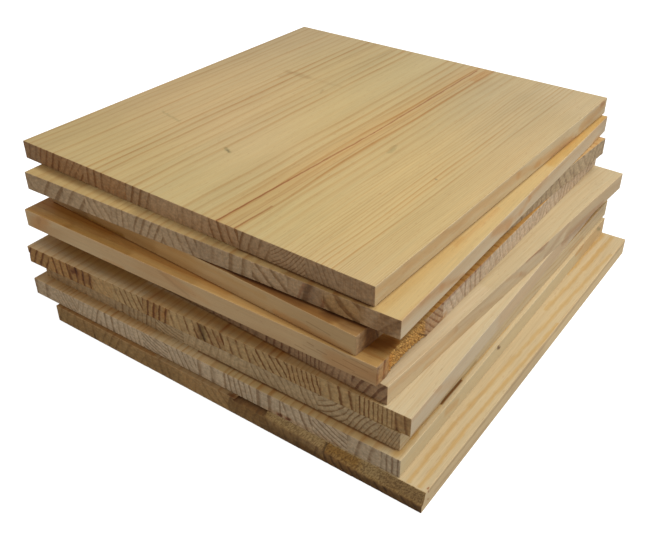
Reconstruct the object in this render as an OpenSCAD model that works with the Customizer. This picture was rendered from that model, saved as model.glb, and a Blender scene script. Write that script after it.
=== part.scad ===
// A stack of nine offcuts of edge-glued pine board, lying flat and a little askew.
// Millimetres, +Z up. The origin is on the floor, in the middle of the whole stack's
// box. The top board's front edge runs along X, and its right edge along Y.
// Each board rests on the one below it and nothing holds them together.
// A board's place is that of its middle, counted from the stack's own axis.

/* [Stock] */
// Thickness that the panels were planed to
board_thickness = 18; // [15:1:28]

/* [Top board] */
// Along the front edge
top_width = 406; // [300:1:600]
// From the front edge to the back edge
top_depth = 431; // [300:1:600]
// How far right its middle lies
top_right = -33.5; // [-60:0.5:60]
// How far back its middle lies
top_back = 20.5; // [-60:0.5:60]
// Turn seen from above, anticlockwise
top_turn = 0; // [-5:0.1:5]

/* [Eighth board] */
// Along the front edge
eighth_width = 407; // [300:1:600]
// From the front edge to the back edge
eighth_depth = 429; // [300:1:600]
// How far right its middle lies
eighth_right = -19; // [-60:0.5:60]
// How far back its middle lies
eighth_back = 8.5; // [-60:0.5:60]
// Turn seen from above, anticlockwise
eighth_turn = 2.5; // [-5:0.1:5]

/* [Seventh board] */
// Along the front edge, which is the grain of this board
seventh_width = 370; // [300:1:600]
// From the front edge to the back edge
seventh_depth = 429; // [300:1:600]
// How far right its middle lies
seventh_right = -11; // [-60:0.5:60]
// How far back its middle lies
seventh_back = 10; // [-60:0.5:60]
// Turn seen from above, anticlockwise
seventh_turn = -2.2; // [-5:0.1:5]

/* [Sixth board] */
// Along the front edge, which is the grain of this board
sixth_width = 399; // [300:1:600]
// From the front edge to the back edge
sixth_depth = 437; // [300:1:600]
// How far right its middle lies
sixth_right = -19.5; // [-60:0.5:60]
// How far back its middle lies
sixth_back = 0.5; // [-60:0.5:60]
// Turn seen from above, anticlockwise
sixth_turn = 1.5; // [-5:0.1:5]

/* [Fifth board] */
// Along the front edge
fifth_width = 400; // [300:1:600]
// From the front edge to the back edge
fifth_depth = 431; // [300:1:600]
// How far right its middle lies
fifth_right = -1; // [-60:0.5:60]
// How far back its middle lies
fifth_back = 13; // [-60:0.5:60]
// Turn seen from above, anticlockwise
fifth_turn = -1.8; // [-5:0.1:5]

/* [Fourth board] */
// Along the front edge
fourth_width = 425; // [300:1:600]
// From the front edge to the back edge
fourth_depth = 405; // [300:1:600]
// How far right its middle lies
fourth_right = -8; // [-60:0.5:60]
// How far back its middle lies
fourth_back = -18.5; // [-60:0.5:60]
// Turn seen from above, anticlockwise
fourth_turn = 2.9; // [-5:0.1:5]

/* [Third board] */
// Along the front edge
third_width = 409; // [300:1:600]
// From the front edge to the back edge
third_depth = 434; // [300:1:600]
// How far right its middle lies
third_right = -3; // [-60:0.5:60]
// How far back its middle lies
third_back = 0; // [-60:0.5:60]
// Turn seen from above, anticlockwise
third_turn = 1.5; // [-5:0.1:5]

/* [Second board] */
// Along the front edge
second_width = 422; // [300:1:600]
// From the front edge to the back edge
second_depth = 435; // [300:1:600]
// How far right its middle lies
second_right = -5; // [-60:0.5:60]
// How far back its middle lies
second_back = -9; // [-60:0.5:60]
// Turn seen from above, anticlockwise
second_turn = 1.9; // [-5:0.1:5]

/* [Bottom board] */
// Along the front edge
bottom_width = 413; // [300:1:600]
// From the front edge to the back edge
bottom_depth = 441; // [300:1:600]
// How far right its middle lies
bottom_right = 24.5; // [-60:0.5:60]
// How far back its middle lies
bottom_back = -10; // [-60:0.5:60]
// Turn seen from above, anticlockwise
bottom_turn = 1.5; // [-5:0.1:5]

/* [Torn front end of the bottom board] */
// How far back the upper layers are torn off
tear_depth = 5; // [1:0.5:12]
// Length of the tear, from the right corner
tear_length = 183; // [160:1:280]
// How far down it reaches along its deepest stretch, at the right corner
tear_drop = 10.5; // [8:0.5:13]
// Length of the deepest stretch
deep_stretch = 60; // [20:1:80]
// How far down it reaches once it has come up again
shallow_drop = 5; // [3:0.5:7]
// How far from the right corner it has come up
shallow_from = 100; // [90:1:140]
// How far down the pocket at its left end reaches
pocket_drop = 2; // [1:0.5:2.5]
// Length of the pocket
pocket_length = 33; // [10:1:50]
// How far back the pocket runs in under the next board
pocket_depth = 14; // [13:1:40]

/* [Hidden] */
// Clear room that a cutting shape gets past the face that it cuts
cut_over = 1;
// Each board's width, depth, place to the right, place to the back and turn,
// from the floor up
BOARDS = [
    [bottom_width, bottom_depth, bottom_right, bottom_back, bottom_turn],
    [second_width, second_depth, second_right, second_back, second_turn],
    [third_width, third_depth, third_right, third_back, third_turn],
    [fourth_width, fourth_depth, fourth_right, fourth_back, fourth_turn],
    [fifth_width, fifth_depth, fifth_right, fifth_back, fifth_turn],
    [sixth_width, sixth_depth, sixth_right, sixth_back, sixth_turn],
    [seventh_width, seventh_depth, seventh_right, seventh_back, seventh_turn],
    [eighth_width, eighth_depth, eighth_right, eighth_back, eighth_turn],
    [top_width, top_depth, top_right, top_back, top_turn],
];

// The four corners of one board in plan, before the stack is centred
function corners(b) = [
    for (sx = [-1, 1], sy = [-1, 1])
        let (x = sx * b[0] / 2, y = sy * b[1] / 2)
        [b[2] + x * cos(b[4]) - y * sin(b[4]), b[3] + x * sin(b[4]) + y * cos(b[4])]
];
all_corners = [for (b = BOARDS) each corners(b)];
all_x = [for (c = all_corners) c[0]];
all_y = [for (c = all_corners) c[1]];
// Middle of the whole stack's box in plan, which is moved to the origin
middle = [(min(all_x) + max(all_x)) / 2, (min(all_y) + max(all_y)) / 2];

// Colours of the faces: straw, honey, straw with more red, and shaded end grain
STRAW = "#E3C48C";
HONEY = "#D3A35E";
ROSY = "#DDB98C";
BROWN = "#A77B45";

// Puts a board's own parts, drawn from its front right lower corner, in its place
module in_place(layer) {
    b = BOARDS[layer];
    translate([b[2] - middle[0], b[3] - middle[1], layer * board_thickness])
        rotate(b[4])
            translate([b[0] / 2, -b[1] / 2, 0])
                children();
}

// One sawn board, drawn from its front right lower corner
module board(layer) {
    b = BOARDS[layer];
    translate([-b[0], 0, 0])
        cube([b[0], b[1], board_thickness]);
}

// What is torn off the bottom board's front end, with the pocket at its left end
module torn_off() {
    translate([0, tear_depth, board_thickness])
        rotate([90, 0, 0])
            linear_extrude(tear_depth + cut_over)
                polygon([
                    [cut_over, cut_over],
                    [cut_over, -tear_drop],
                    [-deep_stretch, -tear_drop],
                    [-shallow_from, -shallow_drop],
                    [-tear_length, -pocket_drop],
                    [-tear_length, cut_over],
                ]);
    translate([-tear_length, -cut_over, board_thickness - pocket_drop])
        cube([pocket_length, pocket_depth + cut_over, pocket_drop + cut_over]);
}

module bottom_board() {
    color(BROWN)
        in_place(0)
            difference() {
                board(0);
                torn_off();
            }
}

module second_board() {
    color(STRAW)
        in_place(1)
            board(1);
}

module third_board() {
    color(HONEY)
        in_place(2)
            board(2);
}

module fourth_board() {
    color(STRAW)
        in_place(3)
            board(3);
}

module fifth_board() {
    color(ROSY)
        in_place(4)
            board(4);
}

module sixth_board() {
    color(HONEY)
        in_place(5)
            board(5);
}

module seventh_board() {
    color(ROSY)
        in_place(6)
            board(6);
}

module eighth_board() {
    color(STRAW)
        in_place(7)
            board(7);
}

module top_board() {
    color(STRAW)
        in_place(8)
            board(8);
}

bottom_board();
second_board();
third_board();
fourth_board();
fifth_board();
sixth_board();
seventh_board();
eighth_board();
top_board();
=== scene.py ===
"""Looks of the stack of pine board offcuts.

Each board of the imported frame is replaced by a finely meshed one. Sizes are in
millimetres in a board's own axes and become metres when its mesh is made:
a counts across the staves, b along the grain from the end that shows best, and
h up from the board's underside. Both a and b start at the board's front right corner.
"""

import math

import bpy
import numpy as np
from mathutils import Matrix, Vector, noise


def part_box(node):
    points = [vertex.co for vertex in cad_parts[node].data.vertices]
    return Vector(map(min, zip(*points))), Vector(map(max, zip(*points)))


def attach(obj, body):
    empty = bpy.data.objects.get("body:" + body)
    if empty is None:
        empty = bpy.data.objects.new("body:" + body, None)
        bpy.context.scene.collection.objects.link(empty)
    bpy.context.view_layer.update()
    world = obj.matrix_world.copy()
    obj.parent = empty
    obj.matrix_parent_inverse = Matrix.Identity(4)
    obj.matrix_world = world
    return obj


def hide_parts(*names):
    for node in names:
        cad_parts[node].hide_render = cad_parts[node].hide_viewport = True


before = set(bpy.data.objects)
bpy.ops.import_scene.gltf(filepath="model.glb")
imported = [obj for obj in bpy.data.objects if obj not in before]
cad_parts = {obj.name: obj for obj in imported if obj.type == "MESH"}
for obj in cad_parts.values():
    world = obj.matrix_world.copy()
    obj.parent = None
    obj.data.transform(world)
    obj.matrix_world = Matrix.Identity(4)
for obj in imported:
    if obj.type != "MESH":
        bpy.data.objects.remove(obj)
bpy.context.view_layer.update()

MM = 0.001

# ---------------- the boards

# Each stave, from a = 0 on: where it ends, how far its ring lines lean to the right
# at the top (degrees), how far off their centre lies (negative: on the left), the
# distance between two lines, where one line crosses mid-height, how dark the lines
# are on the sawn end and on the faces, how warm the stave is, and how light its end.
STAVES = {}
STAVES["top_board"] = [
    (33, 2, 300, 2, 20, 0.2, 0.35, 0.2, 0.85),
    (63, -22, 120, 4.5, 50, 0.4, 0.5, 0.1, 0.85),
    (97, 45, -60, 2.9, 80, 0.75, 0.4, 0, 0.95),
    (130, 20, 200, 9, 120, 0.9, 0.5, 0, 0.95),
    (164, -17, 70, 9.5, 152, 1.2, 0.7, 0.3, 1),
    (197, 8, 200, 11, 183, 0.5, 0.7, 0.1, 1.05),
    (230, 10, 400, 12, 212, 0.2, 0.1, 0, 1.05),
    (262, 19, 250, 9.3, 246, 1, 0.5, 0.1, 0.95),
    (290, 25, 200, 10, 274, 0.5, 0.5, 0.6, 0.92),
    (319, 4, 300, 9.5, 305, 0.7, 0.55, 0.5, 0.92),
    (352, 36, 120, 7, 329, 0.8, 0.45, 0.6, 0.93),
    (383, 21, 200, 8.6, 365, 1, 0.4, 0.7, 0.85),
    (None, 14, 200, 9, 390, 0.5, 0.35, 0.4, 0.8),
]
STAVES["eighth_board"] = [
    (34, 40, 60, 26, 13, 1.2, 0.4, 0.4, 0.93),
    (67, -45, 60, 13, 52, 1.1, 0.6, 0.25, 0.92),
    (100, 16, 200, 20, 86, 0.8, 0.5, 0.3, 0.95),
    (135, -43, 300, 10.8, 125, 1.3, 0.5, 0.2, 1.03),
    (163, 8, 200, 13, 146, 1, 0.6, 0.1, 1),
    (192, 5, 400, 12, 178, 0.15, 0.3, 0.1, 1),
    (231, -22, 150, 9.5, 213, 0.7, 0.4, 0, 1.05),
    (266, 27, 150, 7.6, 248, 0.8, 0.5, 0, 1.05),
    (293, 4, 300, 6.8, 273, 0.6, 0.5, 0, 1.05),
    (325, -32, 200, 8.5, 310, 0.6, 0.4, 0, 1.1),
    (354, 38, 100, 14, 331, 1.1, 0.4, 0, 1.05),
    (387, 38, 80, 14, 364, 1, 0.4, 0.1, 0.97),
    (None, -40, 100, 8, 394, 0.3, 0.3, 0.1, 0.95),
]
STAVES["seventh_board"] = [
    (20, 5, 300, 9, 12, 0.5, 0.4, 0.1, 1),
    (53, -18, 200, 8, 40, 0.5, 0.4, 0.1, 1),
    (86, 25, 150, 7, 70, 0.6, 0.5, 0.2, 0.9),
    (120, -10, 250, 9, 105, 0.5, 0.5, 0, 0.9),
    (153, 30, 120, 8, 140, 0.6, 0.5, 0.1, 0.9),
    (187, -30, 150, 8, 170, 0.5, 0.5, 0, 0.9),
    (220, 12, 200, 9, 200, 0.6, 0.5, 0, 0.9),
    (253, -22, 200, 8, 236, 0.6, 0.5, 0, 0.9),
    (287, 20, 200, 9, 270, 0.5, 0.5, 0.1, 0.9),
    (320, -15, 250, 10, 305, 0.5, 0.5, 0, 0.9),
    (354, -38, 150, 10, 347, 0.8, 0.5, 0, 0.95),
    (387, -36, 150, 11, 366, 0.8, 0.5, 0, 0.95),
    (None, 15, 200, 9, 405, 0.5, 0.5, 0, 0.9),
]
STAVES["sixth_board"] = [
    (32, 3, 300, 8.5, 8, 1, 0.4, 0.8, 0.75),
    (66, -20, 200, 7, 50, 0.8, 0.6, 0.6, 0.75),
    (98, -45, 200, 4.9, 75, 1.2, 0.9, 0.55, 0.85),
    (133, -28, 200, 8, 110, 0.4, 0.7, -0.3, 1.1),
    (170, -8, 200, 9, 161, 0.6, 0.7, 0, 1.05),
    (203, -25, 200, 9, 190, 0.4, 0.5, -0.3, 1.1),
    (237, -20, 200, 9, 215, 0.4, 0.4, -0.3, 1.15),
    (270, -25, 200, 9, 250, 0.5, 0.4, -0.3, 1.15),
    (303, 18, 200, 8, 288, 0.4, 0.4, -0.3, 1.1),
    (337, -30, 150, 9, 320, 0.4, 0.4, -0.3, 1.1),
    (370, 12, 250, 9, 355, 0.5, 0.5, 0.1, 1.1),
    (404, -20, 200, 8, 388, 0.5, 0.5, 0, 1.1),
    (None, 25, 150, 8, 420, 0.5, 0.5, 0, 1.1),
]
STAVES["fifth_board"] = [
    (33, 31, 150, 7, 18, 1.1, 0.15, 0.2, 0.95),
    (63, 15, 200, 6, 45, 0.4, 0.4, 0, 1.05),
    (90, 1, 300, 4.2, 78, 0.9, 0.4, 0, 1),
    (125, 12, 200, 8, 104, 0.8, 0.5, 0, 1),
    (158, 22, 150, 8, 140, 0.6, 0.5, 0, 1),
    (191, -12, 200, 9, 175, 0.5, 0.5, 0, 1),
    (224, 24, 200, 7, 208, 0.6, 0.5, 0.1, 1),
    (257, -30, 150, 8, 240, 0.5, 0.5, 0, 1),
    (290, 8, 300, 9, 274, 0.5, 0.5, 0, 1),
    (323, -18, 200, 7, 306, 0.6, 0.5, 0, 1),
    (356, 33, 150, 9, 340, 0.5, 0.5, 0, 1),
    (None, -8, 250, 8, 378, 0.5, 0.5, 0, 1),
]
STAVES["fourth_board"] = [
    (14, -8, 200, 8, 6, 0.5, 0.15, 0.4, 0.88),
    (48, -1, 300, 4, 33, 1.2, 0.5, 0.1, 1),
    (81, -10, 200, 9.6, 64, 1, 0.5, 0.1, 1),
    (113, -14, 200, 4.6, 93, 1.1, 0.5, 0.3, 0.95),
    (148, -33, 150, 6.3, 126, 1.2, 0.6, 0.1, 1),
    (178, -16, 200, 8.8, 164, 0.8, 0.6, 0.1, 1),
    (212, -24, 150, 7.5, 188, 1.4, 0.6, 0.3, 0.95),
    (240, -15, 200, 8.5, 221, 0.7, 0.5, 0, 1.1),
    (272, 10, 200, 7, 260, 1.6, 0.5, 0.6, 0.9),
    (309, -23, 150, 7, 291, 0.8, 0.5, 0, 1.05),
    (336, -35, 150, 8, 322, 0.3, 0.4, 0.3, 1.05),
    (367, 0, 300, 9, 350, 1, 0.5, 0.9, 0.85),
    (395, -9, 200, 9.5, 380, 1, 0.5, 0.9, 0.95),
    (None, 27, 150, 8, 408, 1.1, 0.5, 0.9, 0.9),
]
STAVES["third_board"] = [
    (20, 22, 200, 2.6, 10, 0.8, 0.5, 0.2, 0.9),
    (48, 32, 120, 4.2, 33, 0.85, 0.5, 0.1, 0.95),
    (76, 50, -45, 5, 58, 0.95, 0.5, 0, 1),
    (110, -25, 150, 6, 92, 0.5, 0.5, 0, 1),
    (145, -35, 150, 6.5, 128, 0.5, 0.5, 0, 1),
    (180, 8, 300, 9, 160, 0.3, 0.4, 0, 1.1),
    (222, 20, 200, 8, 200, 0.35, 0.4, 0, 1.1),
    (256, -72, 80, 3.8, 239, 0.7, 0.5, 0.1, 1),
    (285, 10, 200, 5.6, 263, 0.9, 0.5, 0.2, 0.95),
    (318, 12, 200, 9, 301, 0.7, 0.5, 0.2, 0.95),
    (350, -20, 200, 10, 335, 0.3, 0.4, 0.3, 0.95),
    (380, 10, 300, 12, 365, 0.3, 0.4, 0.5, 0.9),
    (None, -15, 300, 10, 395, 0.3, 0.4, 0.6, 0.85),
]
STAVES["second_board"] = [
    (17, -1, 300, 5, 8, 1.2, 0.15, 0, 0.87),
    (48, 14, 200, 11.5, 28, 0.6, 0.5, 0.1, 0.92),
    (81, -62, 120, 4.4, 65, 1.4, 0.6, 0, 1),
    (113, -23, 150, 8, 92, 0.9, 0.6, 0, 1),
    (143, -1, 300, 12, 127, 0.9, 0.7, 0, 1),
    (172, -10, 200, 5.7, 163, 1.1, 0.7, 0, 1.05),
    (206, -2, 300, 15, 190, 0.8, 0.5, 0, 1.1),
    (240, -24, 150, 5.8, 220, 0.7, 0.5, 0, 1.05),
    (272, -65, 100, 3.9, 255, 1.2, 0.5, 0, 1.05),
    (296, -8, 200, 6, 278, 0.6, 0.6, 0, 1.1),
    (328, -2, 300, 8.8, 313, 0.8, 0.6, 0, 1.1),
    (361, 20, 200, 6.2, 347, 0.7, 0.5, 0.1, 1.05),
    (391, -30, 100, 4.5, 376, 0.5, 0.5, 0.2, 1),
    (None, 7, 300, 16, 407, 0.6, 0.4, 0.2, 1),
]
STAVES["bottom_board"] = [
    (30, -42, 150, 7, 12, 1, 0.15, 0.3, 0.5),
    (62, -38, 150, 6.5, 45, 1, 0.5, 0.3, 0.5),
    (90, -30, 150, 7, 76, 0.9, 0.6, 0.4, 0.6),
    (123, 14, 200, 9, 108, 0.5, 0.5, 0.2, 0.65),
    (156, -20, 200, 8, 140, 0.5, 0.5, 0.2, 0.7),
    (190, 22, 200, 9, 172, 0.5, 0.6, 0.2, 0.8),
    (222, -40, 120, 8, 205, 0.6, 0.6, 0.2, 0.95),
    (256, 8, 300, 10, 240, 0.4, 0.5, 0.3, 0.95),
    (290, -12, 250, 9, 272, 0.4, 0.5, 0.4, 0.9),
    (322, 34, 150, 9, 305, 0.6, 0.5, 0.3, 1),
    (354, 28, 150, 8, 338, 0.5, 0.5, 0.3, 1),
    (385, -6, 300, 12, 362, 0.4, 0.5, 0.4, 0.95),
    (None, 18, 200, 9, 400, 0.4, 0.5, 0.3, 0.95),
]

# Boards laid a quarter turn round, with their grain from right to left
TURNED = ("sixth_board", "seventh_board")

# Radius of the rounding along the boards' edges
ARRIS = 0.5
# Distances from a board's edges at which the mesh has a line, up to past the rounding
EDGE_LINES = (0.0, 0.42 * ARRIS, ARRIS, ARRIS + 0.2)
# How far back from the end that shows the mesh stays fine, where it has lines on the
# way there and beyond, and how far apart its rows and columns are in the rest
FINE_DEPTH = 7.0
DEPTH_LINES = (1.0, 1.5, 2.5, 4.0, 5.5, FINE_DEPTH, 10.0, 15.0, 22.0)
FAR_PITCH = 12.0
COARSE_PITCH = 5.0
# How far apart the mesh lines stand at the end that shows, along it and up it, and how
# far apart those up it are on the boards whose end is worked further
END_PITCH = 0.9
WORKED_ROWS = 0.6


def corner_frame(node):
    """A board's front right lower corner, its edges to the left and back, its thickness."""
    points = [v.co.copy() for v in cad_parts[node].data.vertices]
    low = min(p.z for p in points)
    foot = [p for p in points if p.z < low + 0.1 * MM]
    right = max(foot, key=lambda p: p.x - p.y)
    left = min(foot, key=lambda p: p.x + p.y)
    back = max(foot, key=lambda p: p.x + p.y)
    thick = max(p.z for p in points) - low
    return right, left - right, back - right, thick


class Board:
    """One board of the frame in its own millimetres."""

    def __init__(self, node):
        self.node = node
        corner, left, back, thick = corner_frame(node)
        across, along = (back, left) if node in TURNED else (left, back)
        self.corner = corner
        self.wide = across.length / MM
        self.deep = along.length / MM
        self.high = thick / MM
        self.axes = Matrix((across.normalized(), along.normalized(), Vector((0, 0, 1))))
        self.seed = sum(ord(letter) for letter in node) % 97
        self.staves = []
        for number, row in enumerate(STAVES[node]):
            start = self.staves[-1].end if number else 0.0
            self.staves.append(Stave(start, row, self, number))
        self.joints = [stave.end for stave in self.staves[:-1]]

    def placed(self, points):
        """Points in the board's millimetres as places in the frame, in metres."""
        return np.asarray(points) * MM @ np.array(self.axes) + np.array(self.corner)


class Stave:
    """One glued strip of a board: where its rings are centred, and how they look."""

    def __init__(self, start, row, board, number):
        end, lean, off, self.gap, at, self.ends, self.lines, self.warm, self.tone = row
        self.start = start
        self.end = board.wide if end is None else end
        lean = math.radians(lean)
        # a line that leans right at the top runs towards -a, but on a turned board,
        # whose end is seen from the right, towards +a
        way = 1 if board.node in TURNED else -1
        self.centre_a = at + way * off * math.cos(lean)
        self.centre_h = board.high / 2 - off * math.sin(lean)
        self.first = abs(off)
        self.seed = (board.seed * 7 + number * 13) % 101


# ---------------- board meshes

# How deep the sawn end is worn, from 0 to 1, by how far a point lies through its ring
LINE_PARTS = (0.66, 0.92, 0.95, 1.0)
LINE_WEAR = (0, 1, 1, 0)


def line_wear(stave, a, h):
    """How far points of the sawn end lie in one of the stave's dark lines, 0 to 1."""
    away = np.hypot(a - stave.centre_a, h - stave.centre_h) - stave.first
    return np.interp(away / stave.gap % 1, LINE_PARTS, LINE_WEAR) * min(stave.ends, 1.0)


def stops(length, pitch, marks=()):
    """Mesh lines along one edge: close at both rounded ends, then about a pitch apart.

    The pitch is a number, or a function that gives it at a place.
    """
    ends = [*EDGE_LINES, *(length - x for x in EDGE_LINES)]
    fixed = sorted({round(x, 4) for x in [*ends, *marks]})
    lines = []
    for low, high in zip(fixed, fixed[1:]):
        step = pitch((low + high) / 2) if callable(pitch) else pitch
        count = max(1, round((high - low) / step))
        lines += [low + (high - low) * i / count for i in range(count)]
    return np.array([*lines, fixed[-1]])


class Builder:
    """Collects the faces of one board on a lattice of mesh lines."""

    def __init__(self, a, b, h, coarse):
        self.lines = (a, b, h)
        self.coarse = coarse
        self.number = {}
        self.faces = []

    def vertex(self, i, j, k):
        return self.number.setdefault((i, j, k), len(self.number))

    def quads(self, one, two, place):
        """A sheet of faces over two lists of line numbers; place gives a lattice point."""
        for u0, u1 in zip(one, one[1:]):
            for v0, v1 in zip(two, two[1:]):
                corners = (place(u0, v0), place(u1, v0), place(u1, v1), place(u0, v1))
                self.faces.append([self.vertex(*c) for c in corners])

    def fans(self, j0, j1, k):
        """The row where the fine columns end in the coarse ones, on the face at k."""
        for i0, i1 in zip(self.coarse, self.coarse[1:]):
            row = [self.vertex(i, j0, k) for i in range(i0, i1 + 1)]
            self.faces.append([*row, self.vertex(i1, j1, k), self.vertex(i0, j1, k)])

    def points(self):
        place = np.array(list(self.number))
        return np.stack([self.lines[n][place[:, n]] for n in range(3)], 1)


def lattice(board):
    """The board's faces: fine at the end that shows, coarse elsewhere."""
    close, until = FINE_COLUMNS.get(board.node, (END_PITCH, math.inf))
    a = stops(board.wide, lambda x: close if x < until else END_PITCH, board.joints)
    b = stops(board.deep, FAR_PITCH, DEPTH_LINES)
    h = stops(board.high, WORKED_ROWS if board.node in SHAPERS else END_PITCH)
    coarse = coarse_columns(a, board.joints)
    turn = int(np.searchsorted(b, FINE_DEPTH - 0.01))
    fine, deep, up = range(len(a)), range(len(b)), range(len(h))
    made = Builder(a, b, h, coarse)
    last_a, last_b, last_h = len(a) - 1, len(b) - 1, len(h) - 1
    made.quads(fine, up, lambda i, k: (i, 0, k))
    made.quads(coarse, up[::-1], lambda i, k: (i, last_b, k))
    for k, order in ((0, -1), (last_h, 1)):
        made.quads(fine[::order], deep[: turn + 1], lambda i, j: (i, j, k))
        start = len(made.faces)
        made.fans(turn, turn + 1, k)
        if order < 0:
            made.faces[start:] = [face[::-1] for face in made.faces[start:]]
        made.quads(coarse[::order], deep[turn + 1 :], lambda i, j: (i, j, k))
    made.quads(deep[::-1], up, lambda j, k: (0, j, k))
    made.quads(deep, up, lambda j, k: (last_a, j, k))
    return made


def coarse_columns(a, joints):
    """Numbers of the columns kept away from the fine end: at edges, glue lines, between."""
    kept = [0]
    for i in range(1, len(a)):
        on_joint = any(abs(a[i] - x) < 1e-3 for x in joints)
        near_edge = a[i] < 1.0 or a[i] > a[-1] - 1.0
        if on_joint or near_edge or a[i] - a[kept[-1]] > COARSE_PITCH:
            kept.append(i)
    return kept


def rounded(points, board):
    """Points of the plain box moved onto the one with rounded edges."""
    size = np.array([board.wide, board.deep, board.high])
    inner = np.clip(points, ARRIS, size - ARRIS)
    out = points - inner
    length = np.linalg.norm(out, axis=1, keepdims=True)
    return inner + out * ARRIS / np.maximum(length, 1e-9)


def grit(points, size, seed):
    """Smooth noise from -1 to 1 at each point, with bumps about that size."""
    shift = Vector((seed * 3.7, seed * 1.3, seed * 2.1))
    scaled = points / np.asarray(size, float)
    return np.array([noise.noise(Vector(p) + shift) for p in scaled])


def smooth(low, high, x):
    """0 below low and 1 above high, smooth between."""
    t = np.clip((x - low) / (high - low), 0, 1)
    return t * t * (3 - 2 * t)


def pushed_in(points, depth):
    """Points moved back along the grain by that depth."""
    moved = points.copy()
    moved[:, 1] += depth
    return moved


# Depth of the saw's marks in the ends, and where they run out behind the end
END_RELIEF = 0.3
RELIEF_END = (0.3, 2.5)
# Depth of the lines that it pulled out of the fourth board's front end, where they set
# in above its lower edge, and how far below its upper edge they run out
COMB_DEPTH = 0.8
COMB_START = (0.3, 1.5)
COMB_STOP = 0.9


def combed(board, points):
    """The fourth board's front end: its lines are torn out as shallow grooves."""
    a, b, h = points.T
    lines = np.zeros(len(points))
    for stave in board.staves:
        inside = (a >= stave.start) & (a <= stave.end)
        lines += inside * line_wear(stave, a, h)
    worn = 0.75 + 0.25 * grit(points, (6, 6, 6), board.seed)
    away = smooth(*COMB_START, h) * (1 - smooth(board.high - COMB_STOP, board.high, h))
    depth = COMB_DEPTH * lines * worn * away * (1 - smooth(*RELIEF_END, b))
    return pushed_in(points, depth), np.zeros(len(points))


# The tear across the bottom board's front end: distance from its right corner, and
# the height at which the smooth lip below ends there
LIP = (
    (0, 7.3), (45, 7.5), (64, 8.6), (83, 10.6), (98, 13.0),
    (113, 13.6), (133, 12.6), (150, 15.8), (183, 15.8),
)
# How deep the tear is at the lip and at the top
LIP_DEPTH = 1.2
TEAR_DEPTH = 4.8
# The pocket at its left end: from where to where, and how deep
POCKET = (151.0, 182.0, 13.5)
# How far back the faces behind the tear and behind the pocket give way
TEAR_REACH = 10.0
POCKET_REACH = 22.0


def torn_front(board, points):
    """The bottom board's front end, broken off above a smooth lip."""
    a, b, h = points.T
    lip = np.interp(a, *zip(*LIP)) + 0.35 * grit(points, (4, 4, 50), 5)
    rise = np.clip((h - lip) / np.maximum(board.high - lip, 0.1), 0, 1)
    inside = 1 - smooth(POCKET[1] - 0.4, POCKET[1] + 0.6, a)
    above = smooth(lip - 0.25, lip + 0.35, h) * inside
    rough = 0.6 * grit(points, (1.5, 9, 1.5), 11) + 0.4 * grit(points, (0.8, 9, 0.8), 12)
    tear = (TEAR_DEPTH - LIP_DEPTH) * rise**0.7 + rough * (1 - 0.5 * rise)
    depth = above * (LIP_DEPTH + tear)
    pocket = smooth(POCKET[0] - 0.5, POCKET[0] + 0.5, a) * inside * above
    depth = depth + pocket * (POCKET[2] - depth)
    front = 1 - np.clip(b / np.where(pocket > 0.5, POCKET_REACH, TEAR_REACH), 0, 1)
    moved = pushed_in(points, np.clip(depth, 0, None) * front)
    return moved, above * (1 - smooth(0.5, 2.0, b))


# The torn patch of the sixth board's right end, along a, its depth, how high its lower
# edge is pulled out at the middle, how much deeper it is there, and how far back the
# faces behind it give way
TORN_PATCH = (13.0, 72.0)
PATCH_DEPTH = 1.6
PATCH_ARC = 3.3
PATCH_EDGE_DEPTH = 4.0
PATCH_REACH = 6.0


def torn_patch(board, points):
    """The sixth board's right end, with fibres pulled out of its first two staves."""
    a, b, h = points.T
    left, right = TORN_PATCH
    inside = smooth(left, left + 8, a) * (1 - smooth(right - 6, right, a))
    rough = 0.8 * grit(points, (2.2, 9, 2.2), 21) + 0.6 * grit(points, (0.9, 9, 0.9), 22)
    part = np.clip((a - left) / (right - left), 0, 1)
    arc = PATCH_ARC * np.sin(math.pi * part) + 0.6 * grit(points, (3, 9, 50), 23)
    low = 1 - smooth(arc - 0.6, arc + 0.3, h)
    depth = inside * (PATCH_DEPTH * np.clip(0.6 + rough, 0, 1.6) + PATCH_EDGE_DEPTH * low)
    front = 1 - np.clip(b / PATCH_REACH, 0, 1)
    moved = pushed_in(points, np.clip(depth, 0, None) * front)
    return moved, inside * (1 - smooth(0.5, 2.0, b))


# Boards whose end is worked further, how close their columns stand there, and up to
# which place along it
SHAPERS = {"fourth_board": combed, "bottom_board": torn_front, "sixth_board": torn_patch}
FINE_COLUMNS = {
    "fourth_board": (0.55, math.inf),
    "bottom_board": (0.55, POCKET[1] + 2),
    "sixth_board": (0.5, TORN_PATCH[1] + 2),
}

# Boards that don't lie flat on the one below at their front right corner: how far along
# the front and along the right side the gap reaches, and how high it is at the corner
GAPS = {
    "top_board": (190, 260, 0.3),
    "eighth_board": (250, 320, 1.0),
    "third_board": (500, 60, 0.25),
}
# Height and depth of the gap that these boards leave along their right side, and how
# far behind the front it is fully open
EDGE_GAP = 0.6
EDGE_GAP_DEPTH = 12.0
EDGE_GAP_START = 6.0
OPEN_SIDES = ("top_board", "eighth_board")
# The opening under the third board's right side, along b, and its height
OPENING = (60.0, 106.0, 1.9)
# Height above the underside at which a board is straight again
LIFT_END = 5.0


def sawn_end(board, points):
    """The end that shows, as the saw left it: lines and chips a fraction of a mm deep."""
    a, b, h = points.T
    owner = np.searchsorted(board.joints, a)
    lines = np.zeros(len(points))
    for number, stave in enumerate(board.staves):
        own = owner == number
        lines[own] = line_wear(stave, a[own], h[own])
    step = np.array([(stave.seed * 37 % 10) / 10 for stave in board.staves])[owner]
    rough = grit(points, (2.5, 9, 2.5), board.seed) * 0.5 + 0.5
    depth = END_RELIEF * (0.45 * lines + 0.55 * rough + 0.5 * step)
    return pushed_in(points, depth * (1 - smooth(*RELIEF_END, b)))


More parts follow.
